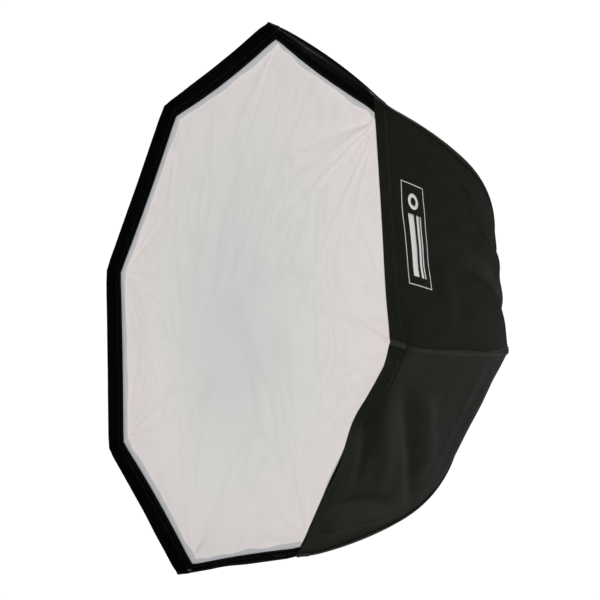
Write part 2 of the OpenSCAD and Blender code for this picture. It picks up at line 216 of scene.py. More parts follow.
def drape(way, across, key):
    """Height of the cloth's folds and small waves."""
    rng = np.random.default_rng(100 + key)
    height = np.zeros(np.broadcast(way, across).shape)
    for (way0, across0), (way1, across1), width, tall in FOLDS.get(key) or random_folds(rng):
        length = math.hypot(way1 - way0, across1 - across0)
        c, s = (way1 - way0) / length, (across1 - across0) / length
        along = ((way - way0) * c + (across - across0) * s) / length - 0.5
        aside = (across - across0) * c - (way - way0) * s + 0.10 * length * along**2
        fade = 1 / (1 + np.exp(14 * (np.abs(along) - 0.48)))
        height = height + tall * np.exp(-((aside / width) ** 2)) * fade
    for _ in range(14):
        heading = rng.uniform(0, math.pi)
        wave = rng.uniform(0.05, 0.14)
        phase = rng.uniform(0, 2 * math.pi)
        along = way * math.cos(heading) + across * math.sin(heading)
        height = height + 0.00022 * np.sin(2 * math.pi * along / wave + phase)
    return height


def panel(way, place, key, lift=0.0):
    """Points on a panel, as (out, across, depth): key is its sector, counted from azimuth 0."""
    r, depth, slope = profile(way)
    out = r * COS_HALF
    across = place * (r * SIN_HALF - SEAM_GAP)
    free = 1 - place**2
    # Cloth held between two outward curves is drawn in at its middle
    deep, reach = DRAWN_IN.get(key, USUALLY_DRAWN_IN)
    drawn_in = EDGE_BOWS[key] + deep * (1 - np.exp(-way / reach))
    bow = free * drawn_in * (1 - smooth((way - 0.25 * SHELL_L) / (0.40 * SHELL_L)))
    rng = np.random.default_rng(300 + key)
    ripple = np.zeros_like(bow)
    for k in range(3, 7):
        size, phase = rng.uniform(-1, 1), rng.uniform(0, 6)
        ripple = ripple + size * np.sin(k * math.pi * (place + 1) / 2 + phase)
    ripple_height = 0.0024 if key == 7 else 0.0008
    bow = bow + ripple_height * ripple * free * np.exp(-way / 0.07)
    held = (1 - np.abs(place) ** 5) * smooth(way / 0.06) * smooth((SHELL_L - way) / 0.12)
    height = drape(way, across, key) * held - bow + lift
    # The sewn hem stands a little proud, and its stitching pulls the cloth in
    height = height + 0.0009 * (1 - smooth((way - HEM_W + 0.002) / 0.003))
    height = height - 0.0010 * np.exp(-(((way - HEM_W) / 0.0022) ** 2))
    pucker = np.sin(2 * math.pi * across / 0.013) * np.exp(-(((way - HEM_W) / 0.008) ** 2))
    height = height + 0.00035 * pucker
    # The outward normal tilts towards the back, as the shell narrows that way
    out = out + height * np.cos(slope)
    depth = depth + height * np.sin(slope)
    dip = corner_dip(way, (1 - np.abs(place)) * r * SIN_HALF)
    across = across - np.sign(place) * dip * SIN_HALF
    return np.stack([out - dip * COS_HALF, across, depth], axis=-1)


# Meshes


def new_object(name, points, faces, materials, face_materials=None):
    mesh = bpy.data.meshes.new(name)
    mesh.from_pydata([tuple(p) for p in np.asarray(points).reshape(-1, 3)], [], faces)
    mesh.validate()
    for material in materials:
        mesh.materials.append(MATERIALS[material])
    if face_materials is not None:
        mesh.polygons.foreach_set("material_index", np.asarray(face_materials, np.int32))
    mesh.polygons.foreach_set("use_smooth", [True] * len(mesh.polygons))
    mesh.update()
    obj = bpy.data.objects.new(name, mesh)
    bpy.context.scene.collection.objects.link(obj)
    return obj


def place_piece(obj, body, slot, *nodes):
    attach(obj, body)
    if nodes:
        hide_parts(*nodes)


def grid_faces(rows, columns, start=0, flip=False, closed=False):
    faces = []
    for i in range(rows - 1):
        for j in range(columns if closed else columns - 1):
            k = (j + 1) % columns
            face = [start + i * columns + j, start + i * columns + k,
                    start + (i + 1) * columns + k, start + (i + 1) * columns + j]
            faces.append(face[::-1] if flip else face)
    return faces


def slab(outer, inner):
    """A closed cloth from two grids of points, with its rim. The outer grid's faces come first."""
    rows, columns = outer.shape[:2]
    count = rows * columns
    points = np.concatenate([outer.reshape(-1, 3), inner.reshape(-1, 3)])
    faces = grid_faces(rows, columns) + grid_faces(rows, columns, count, flip=True)
    border = (
        [j for j in range(columns)]
        + [i * columns + columns - 1 for i in range(1, rows)]
        + [(rows - 1) * columns + j for j in range(columns - 2, -1, -1)]
        + [i * columns for i in range(rows - 2, 0, -1)]
    )
    for a, b in zip(border, border[1:] + border[:1]):
        faces.append([b, a, a + count, b + count])
    return points, faces


def loops_solid(loops):
    """A closed solid from loops of points, each joined to the next and the last to the first."""
    rows, columns = loops.shape[:2]
    faces = grid_faces(rows, columns, closed=True)
    last = (rows - 1) * columns
    for j in range(columns):
        k = (j + 1) % columns
        faces.append([last + j, last + k, k, j])
    return loops.reshape(-1, 3), faces


def capped(rings):
    """A closed tube from a row of rings, with a flat face at each end."""
    rows, columns = rings.shape[:2]
    ends = [list(range(columns))[::-1], [(rows - 1) * columns + k for k in range(columns)]]
    return rings.reshape(-1, 3), grid_faces(rows, columns, closed=True) + ends


def even_turn(count):
    """Angles that go round once in even steps, without the last."""
    return np.linspace(0, 2 * math.pi, count, endpoint=False)


def joined(parts):
    """One list of points and one of faces from several."""
    points, faces, start = [], [], 0
    for p, f in parts:
        p = np.asarray(p, float).reshape(-1, 3)
        points.append(p)
        faces += [[v + start for v in face] for face in f]
        start += len(p)
    return np.concatenate(points), faces


def smooth_by_angle(obj, degrees=35):
    """Smooth shading, with edges sharper than the angle left sharp."""
    mesh = obj.data
    mesh.polygons.foreach_set("use_smooth", [True] * len(mesh.polygons))
    mesh.set_sharp_from_angle(angle=math.radians(degrees))


# Materials


SOCKETS = {
    "metallic": "Metallic",
    "specular": "Specular IOR Level",
    "tint": "Specular Tint",
    "sheen": "Sheen Weight",
    "sheen_roughness": "Sheen Roughness",
    "sheen_tint": "Sheen Tint",
}


class Shader:
    """A small helper that builds one material's nodes."""

    def __init__(self, name, color, roughness, **sockets):
        self.material = bpy.data.materials.new(name)
        self.material.use_nodes = True
        self.tree = self.material.node_tree
        self.bsdf = self.tree.nodes["Principled BSDF"]
        self.bsdf.inputs["Base Color"].default_value = (*color, 1)
        self.bsdf.inputs["Roughness"].default_value = roughness
        for socket, value in sockets.items():
            self.bsdf.inputs[SOCKETS[socket]].default_value = value
        self.coords = self.node("ShaderNodeTexCoord").outputs["Object"]

    def node(self, kind, **settings):
        made = self.tree.nodes.new(kind)
        for key, value in settings.items():
            setattr(made, key, value)
        return made

    def link(self, a, b):
        self.tree.links.new(a, b)

    def stretched(self, scale):
        mapping = self.node("ShaderNodeMapping")
        mapping.inputs["Scale"].default_value = scale
        self.link(self.coords, mapping.inputs["Vector"])
        return mapping.outputs["Vector"]

    def noise(self, scale, detail=3.0, roughness=0.5, vector=None):
        made = self.node("ShaderNodeTexNoise")
        made.inputs["Scale"].default_value = scale
        made.inputs["Detail"].default_value = detail
        made.inputs["Roughness"].default_value = roughness
        self.link(vector or self.coords, made.inputs["Vector"])
        return made.outputs["Fac"]

    def bands(self, scale, axis):
        made = self.node("ShaderNodeTexWave", wave_type="BANDS", bands_direction=axis)
        made.inputs["Scale"].default_value = scale
        self.link(self.coords, made.inputs["Vector"])
        return made.outputs["Fac"]

    def math(self, operation, a, b):
        made = self.node("ShaderNodeMath", operation=operation)
        for value, socket in ((a, made.inputs[0]), (b, made.inputs[1])):
            if isinstance(value, (int, float)):
                socket.default_value = value
            else:
                self.link(value, socket)
        return made.outputs["Value"]

    def ramp(self, fac, stops):
        made = self.node("ShaderNodeValToRGB")
        while len(made.color_ramp.elements) < len(stops):
            made.color_ramp.elements.new(0.5)
        for element, (at, color) in zip(made.color_ramp.elements, stops):
            element.position = at
            element.color = (*color, 1)
        self.link(fac, made.inputs["Fac"])
        return made.outputs["Color"]

    def paint(self, color):
        self.link(color, self.bsdf.inputs["Base Color"])

    def mottle(self, fac, start, color, end, light):
        """Colours the surface from color to light as fac goes from start to end."""
        self.paint(self.ramp(fac, [(start, color), (end, light)]))

    def rough(self, fac, low, high):
        made = self.node("ShaderNodeMapRange")
        made.inputs["To Min"].default_value = low
        made.inputs["To Max"].default_value = high
        self.link(fac, made.inputs["Value"])
        self.link(made.outputs["Result"], self.bsdf.inputs["Roughness"])

    def bump(self, height, distance, strength=1.0):
        made = self.node("ShaderNodeBump")
        made.inputs["Distance"].default_value = distance
        made.inputs["Strength"].default_value = strength
        self.link(height, made.inputs["Height"])
        self.link(made.outputs["Normal"], self.bsdf.inputs["Normal"])


def scaled(color, share):
    return tuple(share * c for c in color)


def weave_height(s, thread):
    """Crossed threads in two planes, so that the weave needs no UVs."""
    x, y, z = (s.bands(1 / thread / 3.2, axis) for axis in ("X", "Y", "Z"))
    return s.math("ADD", s.math("MULTIPLY", x, y), s.math("MULTIPLY", y, z))


def nylon_material(name, color, light):
    s = Shader(
        name, color, 0.40, specular=0.060, tint=(0.93, 1.0, 0.80, 1),
        sheen=0.006, sheen_roughness=0.45, sheen_tint=(0.93, 0.96, 0.86, 1),
    )
    s.mottle(s.noise(7.0, 5.0, 0.6), 0.25, color, 0.8, light)
    s.rough(s.noise(24.0, 4.0), 0.35, 0.48)
    fine = s.math("ADD", weave_height(s, 0.0011), s.math("MULTIPLY", s.noise(90.0, 4.0), 3.0))
    s.bump(fine, 0.0004, 0.5)
    return s.material


def lining_material():
    s = Shader("silver_lining", (0.62, 0.63, 0.64), 0.34, metallic=0.75)
    s.mottle(s.noise(30.0, 4.0), 0.3, (0.50, 0.51, 0.52), 0.75, (0.72, 0.73, 0.74))
    s.rough(s.noise(60.0, 3.0), 0.26, 0.44)
    s.bump(s.math("ADD", s.noise(160.0, 3.0), weave_height(s, 0.0014)), 0.0006, 0.5)
    return s.material


def tape_material(name, color, light):
    s = Shader(name, color, 0.85, specular=0.02)
    s.mottle(s.noise(220.0, 4.0), 0.3, color, 0.75, light)
    s.rough(s.noise(80.0), 0.78, 0.92)
    s.bump(s.math("ADD", weave_height(s, 0.0016), s.noise(300.0)), 0.0006, 0.6)
    return s.material


def thread_material(name, color):
    s = Shader(name, color, 0.6)
    s.mottle(s.noise(400.0), 0.3, scaled(color, 0.7), 0.7, color)
    s.bump(s.bands(900.0, "DIAGONAL"), 0.0003, 0.6)
    return s.material


def diffuser_material():
    """White nylon, a little greyer and greener at its middle, which is painted shade of the hub and
    baffle behind it, and pinker towards its edges.
    """
    s = Shader("diffuser_cloth", (0.70, 0.69, 0.67), 0.62, specular=0.25, sheen=0.05)
    length = s.node("ShaderNodeVectorMath", operation="LENGTH")
    s.link(s.stretched((1.9, 0.0, 1.55)), length.inputs[0])
    soft = s.math("MULTIPLY", s.math("SUBTRACT", s.noise(3.2, 3.0), 0.5), 0.55)
    far = s.math("ADD", length.outputs["Value"], soft)
    # The darkest colours, at the middle, are painted shade of the hub and baffle behind the cloth.
    hub_shade, middle = (0.575, 0.572, 0.580), (0.60, 0.606, 0.590)
    pale, pink = (0.665, 0.652, 0.632), (0.715, 0.665, 0.65)
    s.paint(s.ramp(far, [(0.0, hub_shade), (0.22, middle), (0.62, pale), (0.95, pink)]))
    s.rough(s.noise(40.0), 0.56, 0.7)
    fine = s.math("ADD", weave_height(s, 0.0010), s.math("MULTIPLY", s.noise(60.0, 4.0), 2.0))
    s.bump(fine, 0.0003, 0.4)
    return s.material


def white_cloth_material(name, color):
    s = Shader(name, color, 0.7)
    s.mottle(s.noise(14.0), 0.3, scaled(color, 0.93), 0.75, color)
    s.bump(s.math("ADD", weave_height(s, 0.0012), s.noise(80.0)), 0.0005, 0.5)
    return s.material


def metal_material(name, color, roughness, stretch, brush=240.0):
    """Bare metal with fine streaks: a small stretch along an axis draws them out along it."""
    s = Shader(name, color, roughness, metallic=1.0)
    streaks = s.noise(brush, 5.0, 0.6, s.stretched(stretch))
    s.mottle(streaks, 0.3, scaled(color, 0.8), 0.7, color)
    s.rough(s.noise(35.0, 4.0), roughness - 0.06, roughness + 0.12)
    s.bump(streaks, 0.0002, 0.5)
    return s.material


def coated_metal_material(name, color):
    s = Shader(name, color, 0.45, specular=0.4)
    worn = s.noise(18.0, 5.0, 0.65)
    s.mottle(worn, 0.35, color, 0.85, scaled(color, 1.9))
    s.rough(worn, 0.38, 0.58)
    s.bump(s.noise(520.0, 2.0), 0.0003, 0.6)
    return s.material


def moulded_material(name, color, roughness):
    s = Shader(name, color, roughness)
    grains = s.node("ShaderNodeTexVoronoi")
    grains.inputs["Scale"].default_value = 700.0
    s.link(s.coords, grains.inputs["Vector"])
    s.mottle(s.noise(45.0), 0.3, color, 0.8, scaled(color, 1.6))
    s.rough(s.noise(90.0), roughness - 0.07, roughness + 0.1)
    s.bump(grains.outputs["Distance"], 0.0002, 0.7)
    return s.material


def floor_material():
    s = Shader("pale_floor", (0.86, 0.86, 0.86), 0.8)
    s.mottle(s.noise(1.5), 0.3, (0.84, 0.84, 0.84), 0.7, (0.88, 0.88, 0.88))
    return s.material


ALONG_Y, ALL_ROUND = (1, 0.02, 1), (1, 1, 1)
MATERIALS = {
    "shell": nylon_material("black_nylon", (0.0072, 0.0082, 0.0050), (0.0098, 0.0108, 0.0072)),
    "lining": lining_material(),
    "lip": tape_material("black_lip", (0.0012, 0.0012, 0.0012), (0.0026, 0.0026, 0.0025)),
    "border": tape_material("black_border", (0.0003, 0.0003, 0.0003), (0.0012, 0.0012, 0.0012)),
    "seam_tape": nylon_material("seam_tape", (0.0098, 0.0108, 0.0072), (0.0135, 0.0146, 0.0105)),
    "webbing": tape_material("black_webbing", (0.0060, 0.0060, 0.0055), (0.0110, 0.0110, 0.0100)),
    "tab": tape_material("tab_webbing", (0.024, 0.026, 0.021), (0.040, 0.042, 0.035)),
    "thread": thread_material("grey_thread", (0.034, 0.037, 0.029)),
    "diffuser": diffuser_material(),
    # Grey painted shade on the white cloth of the diffuser's recessed wall.
    "diffuser_wall_shade": white_cloth_material("diffuser_wall_painted_shade", (0.50, 0.505, 0.520)),
    "black_thread": thread_material("black_thread", (0.0012, 0.0012, 0.0012)),
    "baffle": white_cloth_material("baffle_cloth", (0.72, 0.71, 0.70)),
    "elastic": white_cloth_material("white_elastic", (0.66, 0.65, 0.63)),
    "print": white_cloth_material("label_print", (0.93, 0.93, 0.92)),
    "ring": coated_metal_material("ring_coat", (0.020, 0.020, 0.021)),
    "mount": metal_material("mount_metal", (0.66, 0.67, 0.69), 0.30, ALONG_Y, 160.0),
    "steel": metal_material("zinc_steel", (0.55, 0.56, 0.57), 0.32, ALONG_Y),
    "rod": metal_material("rod_steel", (0.34, 0.35, 0.36), 0.36, ALONG_Y),
    "brass": metal_material("ferrule_brass", (0.66, 0.48, 0.22), 0.34, ALL_ROUND),
    "snap": metal_material("snap_plate", (0.70, 0.71, 0.72), 0.18, ALL_ROUND),
    "knob": moulded_material("knob_plastic", (0.014, 0.014, 0.014), 0.5),
    "rubber": moulded_material("tip_rubber", (0.016, 0.016, 0.016), 0.78),
    "floor": floor_material(),
}


# Shell


def way_rows():
    """Ways back along the cloth for a panel's rows, close together at the hem."""
    hem = np.linspace(0, 0.036, 19)
    rest = np.linspace(0.036, SHELL_L, 132)[1:]
    return np.concatenate([hem, rest])


def shell_panel(key):
    """One cut panel of the shell: black nylon outside, silver lining inside, a black lip in front."""
    ways = way_rows()[:, None]
    places = np.linspace(-1, 1, 97)[None, :]
    outer = turned(panel(ways, places, key), SECTOR * key)
    inner = turned(panel(ways, places, key, -CLOTH_T), SECTOR * key)
    points, faces = slab(outer, inner)
    rows, columns = outer.shape[:2]
    per_side = (rows - 1) * (columns - 1)
    lip_rows = int(np.sum(way_rows() < HEM_W))
    index = np.zeros(len(faces), int)
    index[per_side : 2 * per_side] = 1
    index[per_side : per_side + lip_rows * (columns - 1)] = 2
    obj = new_object(f"shell_panel_{key}", points, faces, ["shell", "lining", "lip"], index)
    place_piece(obj, "frame", "shell_nylon", f"gore_{(key - 1) % SIDES + 1}")


def stitch(start, end, up):
    """One short thread between two points, bowed up off the cloth, with six sides."""
    line = end - start
    forward = line / max(np.linalg.norm(line), 1e-9)
    side = np.cross(forward, up)
    side = side / max(np.linalg.norm(side), 1e-9)
    top = np.cross(side, forward)
    turn = even_turn(6)
    round_it = np.cos(turn)[:, None] * side + np.sin(turn)[:, None] * top
    rings = []
    for share, thick in ((0.0, 0.45), (0.2, 0.95), (0.5, 1.0), (0.8, 0.95), (1.0, 0.45)):
        middle = start + line * share + top * THREAD_R * (math.sin(math.pi * share) - 0.1)
        rings.append(middle + THREAD_R * thick * round_it)
    return capped(np.stack(rings))


def stitched_line(points, ups, pitch=0.0042, fill=0.66):
    """Stitches along a line of points on the cloth, as a list of parts to join."""
    points, ups = np.asarray(points), np.asarray(ups)
    along = np.concatenate([[0], np.cumsum(np.linalg.norm(np.diff(points, axis=0), axis=1))])

    def at(x):
        return np.array([np.interp(x, along, points[:, k]) for k in range(3)])

    def up_at(x):
        return np.array([np.interp(x, along, ups[:, k]) for k in range(3)])

    count = int(along[-1] / pitch)
    return [
        stitch(at(k * pitch), at((k + fill) * pitch), up_at((k + fill / 2) * pitch))
        for k in range(count)
    ]


def panel_normals(ways, key):
    slope = profile(ways)[2]
    c, s = math.cos(math.radians(SECTOR * key)), math.sin(math.radians(SECTOR * key))
    return np.stack([np.cos(slope) * c, np.sin(slope), np.cos(slope) * s], axis=-1)


def hem_stitching():
    """The row of stitches that holds the hem, all the way round the front."""
    parts = []
    for key in range(SIDES):
        places = np.linspace(-0.965, 0.965, 160)
        ways = np.full_like(places, HEM_W)
        points = turned(panel(ways, places, key, 0.0002), SECTOR * key)
        parts += stitched_line(points, panel_normals(ways, key))
    obj = new_object("hem_stitching", *joined(parts), ["thread"])
    place_piece(obj, "frame", "webbing_black")


def seam_frame(ways, i):
    """Points on a rod's seam and the two directions across it and out of it."""
    r, depth, slope = profile(ways)
    azimuth = math.radians(rod_azimuth(i))
    c, s = math.cos(azimuth), math.sin(azimuth)
    r = r - corner_dip(ways, 0)
    points = leaned(np.stack([r * c, FRONT_Y + depth, r * s], axis=-1))
    out = np.stack([np.cos(slope) * c, np.sin(slope), np.cos(slope) * s], axis=-1)
    across = np.broadcast_to(np.array([-s, 0, c]), points.shape)
    return points, across, out


def waver(ways, seed, waves):
    """A sum of waves, each with its height and length, that start where the seed says."""
    rng = np.random.default_rng(seed)
    return sum(size * np.sin(ways / step + rng.uniform(0, 6)) for size, step in waves)


def tape_width(ways, i):
    """Half the width of a seam tape: slack and wavy, and narrower where it is pulled flat."""
    wave = waver(ways, 500 + i, [(0.16, 0.075), (0.10, 0.031)])
    return SEAM_TAPE_W / 2 * (1 + wave) * (0.85 + 0.15 * smooth(ways / 0.1))


def tape_sway(ways, i):
    """How far a seam tape strays to one side of its seam."""
    return waver(ways, 600 + i, [(0.0016, 0.11), (0.0009, 0.047)])


def seam_tape(i):
    """The binding over the seam between two panels, lying over the rod's ridge."""
    front, rest = np.linspace(HEM_W + 0.002, 0.06, 12), np.linspace(0.06, SHELL_L - 0.012, 150)
    ways = np.concatenate([front, rest[1:]])
    points, across, out = seam_frame(ways, i)
    half = tape_width(ways, i)
    sway = tape_sway(ways, i)
    outer, inner = [], []
    for share in np.linspace(-1, 1, 9):
        aside = half * share + sway
        drop = SEAM_FALL * (np.sqrt(aside**2 + 0.0025**2) - 0.0025)
        crown = 0.0012 + 0.0004 * (1 - abs(share) ** 3) + 0.0005 * abs(share) ** 6
        outer.append(points + across * aside[:, None] + out * (crown - drop)[:, None])
        inner.append(points + across * aside[:, None] + out * (-0.0004 - drop)[:, None])
    outer, inner = np.stack(outer, axis=1), np.stack(inner, axis=1)
    parts = []
    for column in (1, 7):
        parts += stitched_line(outer[:, column] + out * 0.0002, out, pitch=0.0046)
    return slab(outer, inner), parts


def corner_tab(i):
    """The short webbing strip sewn over each seam across the hem, with a box of stitches."""
    half = 0.0052
    ways = np.linspace(0.001, HEM_W + 0.001, 13)
    points, across, out = seam_frame(ways, i)
    outer, inner = [], []
    for share in np.linspace(-1, 1, 13):
        aside = half * share
        drop = SEAM_FALL * (math.sqrt(aside**2 + 0.003**2) - 0.003)
        rounding = 0.0006 * (1 - abs(share) ** 6)
        outer.append(points + across * aside + out * (0.0024 + rounding - drop))
        inner.append(points + across * aside + out * (0.0008 - drop))
    outer = np.stack(outer, axis=1)
    parts = []
    for row in (1, -2):
        parts += stitched_line(outer[row], np.repeat(out[row][None], 13, axis=0), pitch=0.0034)
    for column in (1, -2):
        parts += stitched_line(outer[:, column], out, pitch=0.0034)
    return slab(outer, np.stack(inner, axis=1)), parts


def seams():
    threads, tapes, tabs = [], [], []
    for i in range(SIDES):
        tape, tape_threads = seam_tape(i)
        tab, tab_threads = corner_tab(i)
        tapes.append(tape)
        tabs.append(tab)
        threads += tape_threads + tab_threads
    obj = new_object("seam_binding", *joined(tapes), ["seam_tape"])
    place_piece(obj, "frame", "seam_binding", "seam_tapes")
    obj = new_object("corner_webbing", *joined(tabs), ["tab"])
    place_piece(obj, "frame", "webbing_black", "corner_tabs")
    obj = new_object("seam_stitching", *joined(threads), ["thread"])
    place_piece(obj, "frame", "webbing_black")


# Label: a plain printed frame with bars in it


def printed_shape(outline, key):
    """A thin print on a panel: outline is a grid of (way, across) points."""
    ways, across = outline[..., 0], outline[..., 1]
    half = profile(ways)[0] * SIN_HALF - SEAM_GAP
    outer = turned(panel(ways, across / half, key, 0.0004), SECTOR * key)
    inner = turned(panel(ways, across / half, key, 0.0001), SECTOR * key)
    return slab(outer, inner)


def bar_outline(way0, way1, across0, across1):
    rows = np.linspace(way0, way1, max(3, int(abs(way1 - way0) / 0.004)))
    columns = np.linspace(across0, across1, max(3, int(abs(across1 - across0) / 0.006)))
    return np.stack(np.broadcast_arrays(rows[:, None], columns[None, :]), axis=-1)


def label():
    key = 0
    way0, way1, across0, across1, line = 0.058, 0.128, -0.104, 0.094, 0.0017
    middle = (way0 + way1) / 2
    bars = [
        (way0, way0 + line, across0, across1),
        (way1 - line, way1, across0, across1),
        (way0 + line, way1 - line, across0, across0 + line),
        (way0 + line, way1 - line, across1 - line, across1),
        (middle - 0.018, middle - 0.002, across0 + 0.018, across1 - 0.060),
        (middle + 0.006, middle + 0.013, across0 + 0.018, across1 - 0.060),
        (middle + 0.017, middle + 0.020, across0 + 0.018, across1 - 0.060),
    ]
    parts = [printed_shape(bar_outline(*bar), key) for bar in bars]
    turn = np.linspace(0, 2 * math.pi, 49)
    radii = np.array([0.008, 0.0155])[:, None]
    ring_ways, ring_across = middle + radii * np.cos(turn), across1 - 0.034 + radii * np.sin(turn)
    parts.append(printed_shape(np.stack([ring_ways, ring_across], axis=-1), key))
    obj = new_object("label_ink", *joined(parts), ["print"])
    place_piece(obj, "frame", "label_white", "label_print")


# Front rim

BORDER_CORNER_R = BORDER_HIGH.x / COS_HALF
BORDER_DEPTH = BORDER_LOW.y - FRONT_Y
DIFFUSER_CORNER_R = 0.948 * SHELL_R
DIFFUSER_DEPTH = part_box("front_diffuser")[1].y - FRONT_Y
RIM_BOWS = EDGE_BOWS + 0.0005

# How far each side of the diffuser is sewn in (+) or out (-) from its even place, by azimuth / 45
SEWN_IN = [0.000, -0.003, 0.000, 0.004, 0.005, 0.002, -0.011, 0.000]
# How much further each side of the diffuser bows in at its middle than the rim does
SEWN_BOW = [0.000, 0.005, 0.003, 0.001, 0.001, 0.002, 0.000, 0.000]


def octagon_loop(corner_r, depth, bows, per_side=64, rounding=0.0, uneven=0.0):
    """A closed loop of points round the axis, with its sides bowed in and its corners rounded."""
    bows = np.broadcast_to(bows, SIDES)
    apothems = [corner_r * COS_HALF - uneven * SEWN_IN[key] for key in range(SIDES)]
    loop = []
    for key in range(SIDES):
        even = np.linspace(-1, 1, per_side, endpoint=False)
        places = even * (1.35 - 0.35 * even**2)
        before, here, after = apothems[key - 1], apothems[key], apothems[(key + 1) % SIDES]
        turn_c, turn_s = math.cos(math.radians(SECTOR)), math.sin(math.radians(SECTOR))
        start, end = -(before - here * turn_c) / turn_s, (after - here * turn_c) / turn_s
        half = (end - start) / 2
        dip = rounding * np.exp(-(((1 - np.abs(places)) * half / 0.02) ** 2))
        out = here - (bows[key] + uneven * SEWN_BOW[key]) * (1 - places**2) - dip * COS_HALF
        across = (start + end) / 2 + places * half - np.sign(places) * dip * SIN_HALF
        deep = np.full_like(places, depth)
        loop.append(turned(np.stack([out, across, deep], axis=-1), SECTOR * key))
    return np.concatenate(loop)


def rim_loop(corner_r, depth, uneven):
    return octagon_loop(corner_r, depth, RIM_BOWS, rounding=CORNER_DIP / 2, uneven=uneven)


def rim_frame(name, outer_r, inner_r, depth, puff, material):
    """A flat cloth frame that follows the shell's bowed edge, thicker between its sewn edges."""
    front, back = [], []
    for share in np.linspace(0, 1, 9):
        r = outer_r + (inner_r - outer_r) * share
        front.append(rim_loop(r, depth - puff * math.sin(math.pi * share), share))
        back.append(rim_loop(r, depth + TAPE_T, share))
    points, faces = loops_solid(np.stack(front + back[::-1]))
    return new_object(name, points, [f[::-1] for f in faces], [material])


def loop_flange():
    """The loop tape inside the shell's front edge, which the border's hook tape grips."""
    low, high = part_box("loop_flange")
    outer_r, inner_r = high.x / COS_HALF, DIFFUSER_CORNER_R + 0.003
    obj = rim_frame("loop_flange_tape", outer_r, inner_r, low.y - FRONT_Y, 0.0002, "lip")
    place_piece(obj, "frame", "loop_tape", "loop_flange")


def border():
    """The black border round the diffuser, which lies on the loop tape."""
    inner_r, depth = DIFFUSER_CORNER_R - 0.0015, BORDER_DEPTH + 0.0008
    obj = rim_frame("diffuser_border_cloth", BORDER_CORNER_R, inner_r, depth, 0.0007, "border")
    place_piece(obj, "diffuser", "hook_border", "diffuser_border")


def diffuser_height(x, z):
    """Small folds of the stretched diffuser: rays from the corners and soft slanting creases."""
    height = np.zeros_like(x)
    rng = np.random.default_rng(42)
    for i in range(SIDES):
        azimuth = math.radians(rod_azimuth(i))
        cx, cz = DIFFUSER_CORNER_R * math.cos(azimuth), DIFFUSER_CORNER_R * math.sin(azimuth)
        far = np.hypot(x - cx, z - cz)
        heading = np.arctan2(z - cz, x - cx) - (azimuth + math.pi)
        heading = (heading + math.pi) % (2 * math.pi) - math.pi
        fade = np.exp(-far / 0.13) * smooth(far / 0.03)
        for _ in range(9):
            at, width = rng.uniform(-1.0, 1.0), rng.uniform(0.03, 0.08)
            tall = rng.uniform(-0.0080, 0.0080)
            height = height + tall * np.exp(-(((heading - at) / width) ** 2)) * fade
        # Puckers square to each side, where the cloth is sewn to its border
        c, s = math.cos(math.radians(SECTOR * i)), math.sin(math.radians(SECTOR * i))
        inward = DIFFUSER_CORNER_R * COS_HALF - (x * c + z * s)
        aside = z * c - x * s
        for _ in range(12):
            at, width = rng.uniform(-0.2, 0.2), rng.uniform(0.005, 0.011)
            length = rng.uniform(0.02, 0.07)
            tall, lean = rng.uniform(-0.0040, 0.0040), rng.uniform(-0.5, 0.5)
            pucker = np.exp(-(((aside - at - lean * inward) / width) ** 2)) * np.exp(-inward / length)
            height = height + tall * pucker * smooth(inward / 0.02) * (inward > 0)
    # Creases: middle in X and Z, heading, length, width, height
    creases = [
        (0.05, 0.30, 62, 0.42, 0.020, 0.0016), (0.12, 0.26, 58, 0.40, 0.018, -0.0016),
        (0.20, 0.20, 55, 0.36, 0.022, 0.0014), (0.28, 0.14, 52, 0.36, 0.020, -0.0014),
        (-0.10, 0.30, 75, 0.36, 0.025, 0.0010), (-0.25, 0.02, 100, 0.44, 0.030, -0.0010),
        (0.10, -0.25, 110, 0.40, 0.030, 0.0010), (-0.20, -0.30, 60, 0.30, 0.022, -0.0012),
        (0.32, -0.05, 84, 0.44, 0.026, 0.0012), (0.36, -0.10, 88, 0.40, 0.020, -0.0010),
    ]
    for at_x, at_z, heading, length, width, tall in creases:
        c, s = math.cos(math.radians(heading)), math.sin(math.radians(heading))
        along = (x - at_x) * c + (z - at_z) * s
        aside = (z - at_z) * c - (x - at_x) * s
        height = height + tall * np.exp(-((aside / width) ** 2) - (along / (length / 2)) ** 2)
    return height


def cloth_disc(loops, thick):
    """A thin cloth from loops that run in towards its middle, where both of its sides close."""
    back = loops.copy()
    back[..., 1] += thick
    rows, columns = loops.shape[:2]
    points = np.concatenate([loops.reshape(-1, 3), back.reshape(-1, 3)])
    total = rows * columns
    faces = grid_faces(rows, columns, closed=True, flip=True)
    faces += grid_faces(rows, columns, total, closed=True)
    last = (rows - 1) * columns
    faces.append([last + j for j in range(columns)][::-1])
    faces.append([total + last + j for j in range(columns)])
    for j in range(columns):
        k = (j + 1) % columns
        faces.append([j, k, total + k, total + j][::-1])
    return points, faces


